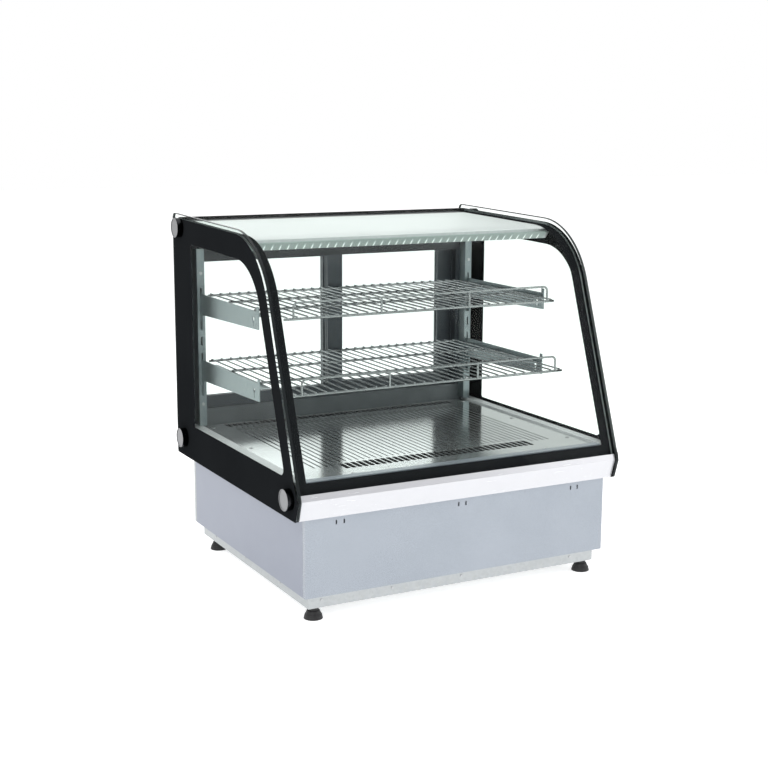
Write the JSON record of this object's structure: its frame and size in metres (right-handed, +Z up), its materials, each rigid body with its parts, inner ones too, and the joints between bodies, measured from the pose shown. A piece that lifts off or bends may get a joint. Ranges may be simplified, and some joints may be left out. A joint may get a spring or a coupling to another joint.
{
  "type": "refrigerated countertop display case",
  "caption": "Countertop refrigerated bakery display case with curved front glass, rear sliding doors and wire shelves.",
  "frame": {"origin": "centre of the overall box's bottom, on the table under the feet", "axes": "+Z up; -Y towards the customer, the curved front glass; +X to the customer's right when facing the case"},
  "size_m": [0.726, 0.6199, 0.706],
  "materials": {
    "tempered_glass": "polished",
    "painted_grey": "satin powder coat",
    "painted_white": "satin powder coat",
    "galvanised": "galvanised sheet",
    "stainless": "bright rolled stainless",
    "chrome_wire": "chrome plated",
    "cap_metal": "brushed face",
    "black_plastic": "fine texture",
    "dark_frame": "extruded, satin",
    "rail_grey": "extruded, satin",
    "roof_white": "gloss",
    "foam": "expanded foam",
    "black_rubber": "moulded",
    "led_diffuser": "opal",
    "led_board": "solder mask",
    "aluminium_fin": "mill",
    "copper_pipe": "drawn copper",
    "black_steel": "black paint",
    "red_plastic": "gloss",
    "button_grey": "moulded",
    "screw_steel": "zinc plated"
  },
  "bodies": {
    "case": {"base_frame": "galvanised", "base_pan": "galvanised", "front_panel": "painted_grey", "left_panel": "painted_grey", "right_panel": "painted_grey", "rear_panel": "galvanised", "well_shell": "galvanised", "well_insulation": "foam", "well_liner": "stainless", "front_fascia": "painted_white", "deck": "stainless", "side_sills": "painted_white", "front_sill": "painted_grey", "air_grilles": "black_plastic", "screws": "screw_steel", "left_side_glass": "tempered_glass", "right_side_glass": "tempered_glass", "front_glass": "tempered_glass", "glass_caps": "cap_metal", "roof_panel": "roof_white", "roof_seal": "black_rubber", "light_housing": "galvanised", "led_board": "led_board", "led_diffuser": "led_diffuser", "top_track_rail": "rail_grey", "bottom_track_rail": "rail_grey", "door_posts": "rail_grey", "left_upright": "galvanised", "right_upright": "galvanised", "upper_left_bracket": "galvanised", "upper_right_bracket": "galvanised", "lower_left_bracket": "galvanised", "lower_right_bracket": "galvanised", "upper_shelf": "chrome_wire", "lower_shelf": "chrome_wire", "evaporator_coil": "aluminium_fin", "evaporator_fan_plate": "galvanised", "compressor": "black_steel", "condenser_coil": "aluminium_fin", "condenser_shroud": "black_steel", "refrigerant_pipes": "copper_pipe", "control_box": "black_plastic", "controller": "black_plastic", "rocker_frames": "black_plastic", "power_inlet": "black_plastic"},
    "left_door": {"left_door_frame": "dark_frame", "left_door_pane": "tempered_glass"},
    "right_door": {"right_door_frame": "dark_frame", "right_door_pane": "tempered_glass"},
    "evaporator_fan_rotor": {"evaporator_fan": "black_plastic"},
    "condenser_fan_rotor": {"condenser_fan": "black_plastic"},
    "front_left_levelling_foot": {"front_left_foot": "black_rubber"},
    "front_right_levelling_foot": {"front_right_foot": "black_rubber"},
    "rear_left_levelling_foot": {"rear_left_foot": "black_rubber"},
    "rear_right_levelling_foot": {"rear_right_foot": "black_rubber"},
    "power_switch": {"power_rocker": "red_plastic"},
    "light_switch": {"light_rocker": "black_plastic"},
    "set_key": {"set_button": "button_grey"},
    "up_key": {"up_button": "button_grey"},
    "down_key": {"down_button": "button_grey"}
  },
  "joints": [
    {"name": "left_door_slide", "type": "slide", "parent": "case", "child": "left_door", "axis": [1, 0, 0], "range_m": [0, 0.27]},
    {"name": "right_door_slide", "type": "slide", "parent": "case", "child": "right_door", "axis": [-1, 0, 0], "range_m": [0, 0.27]},
    {"name": "evaporator_fan_spin", "type": "hinge", "parent": "case", "child": "evaporator_fan_rotor", "pos_m": [0, -0.118, 0.194], "axis": [0, 1, 0], "continuous": true},
    {"name": "condenser_fan_spin", "type": "hinge", "parent": "case", "child": "condenser_fan_rotor", "pos_m": [0.162, 0.208, 0.11275], "axis": [0, 1, 0], "continuous": true},
    {"name": "front_left_foot_height", "type": "slide", "parent": "case", "child": "front_left_levelling_foot", "axis": [0, 0, -1], "range_m": [0, 0.012]},
    {"name": "front_right_foot_height", "type": "slide", "parent": "case", "child": "front_right_levelling_foot", "axis": [0, 0, -1], "range_m": [0, 0.012]},
    {"name": "rear_left_foot_height", "type": "slide", "parent": "case", "child": "rear_left_levelling_foot", "axis": [0, 0, -1], "range_m": [0, 0.012]},
    {"name": "rear_right_foot_height", "type": "slide", "parent": "case", "child": "rear_right_levelling_foot", "axis": [0, 0, -1], "range_m": [0, 0.012]},
    {"name": "power_switch_rock", "type": "hinge", "parent": "case", "child": "power_switch", "pos_m": [-0.18, 0.269, 0.15], "axis": [-1, 0, 0], "range_deg": [0, 20]},
    {"name": "light_switch_rock", "type": "hinge", "parent": "case", "child": "light_switch", "pos_m": [-0.15, 0.269, 0.15], "axis": [-1, 0, 0], "range_deg": [0, 20]},
    {"name": "set_key_press", "type": "slide", "parent": "case", "child": "set_key", "axis": [0, -1, 0], "range_m": [0, 0.0015], "stiffness_N_per_m": 300},
    {"name": "up_key_press", "type": "slide", "parent": "case", "child": "up_key", "axis": [0, -1, 0], "range_m": [0, 0.0015], "stiffness_N_per_m": 300},
    {"name": "down_key_press", "type": "slide", "parent": "case", "child": "down_key", "axis": [0, -1, 0], "range_m": [0, 0.0015], "stiffness_N_per_m": 300}
  ]
}
